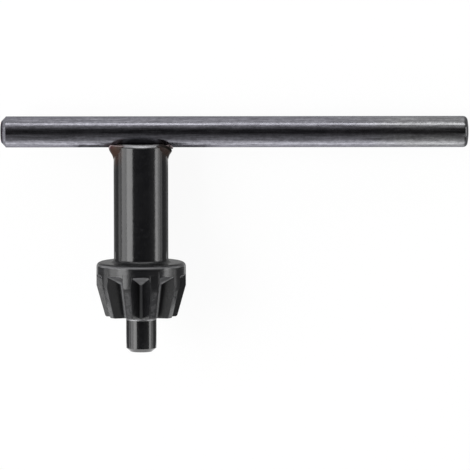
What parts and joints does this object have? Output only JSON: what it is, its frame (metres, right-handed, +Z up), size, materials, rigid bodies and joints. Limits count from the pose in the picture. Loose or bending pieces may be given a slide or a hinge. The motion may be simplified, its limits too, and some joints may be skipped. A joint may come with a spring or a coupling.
{
  "type": "drill chuck key",
  "caption": "Steel key for a geared drill chuck: a cross handle rod welded off centre on a round shank, with a bevel gear head and a pilot pin.",
  "frame": {"origin": "centre of the footprint of the key as it lies on a table", "axes": "+X along the handle rod towards its long arm, +Z up, the shank points towards -Y and rises about 8 degrees towards the gear head"},
  "size_m": [0.06, 0.0302, 0.0116],
  "materials": {
    "black_oxide_steel": "turned, case hardened and blackened, semi-gloss",
    "drawn_steel": "drawn and tumbled, dark grey, satin along the rod",
    "heat_tinted_steel": "upset weld metal with brown and straw heat tint"
  },
  "bodies": {
    "root": {"key_body": "black_oxide_steel", "handle_rod": "drawn_steel", "weld_flash": "heat_tinted_steel"}
  },
  "joints": []
}
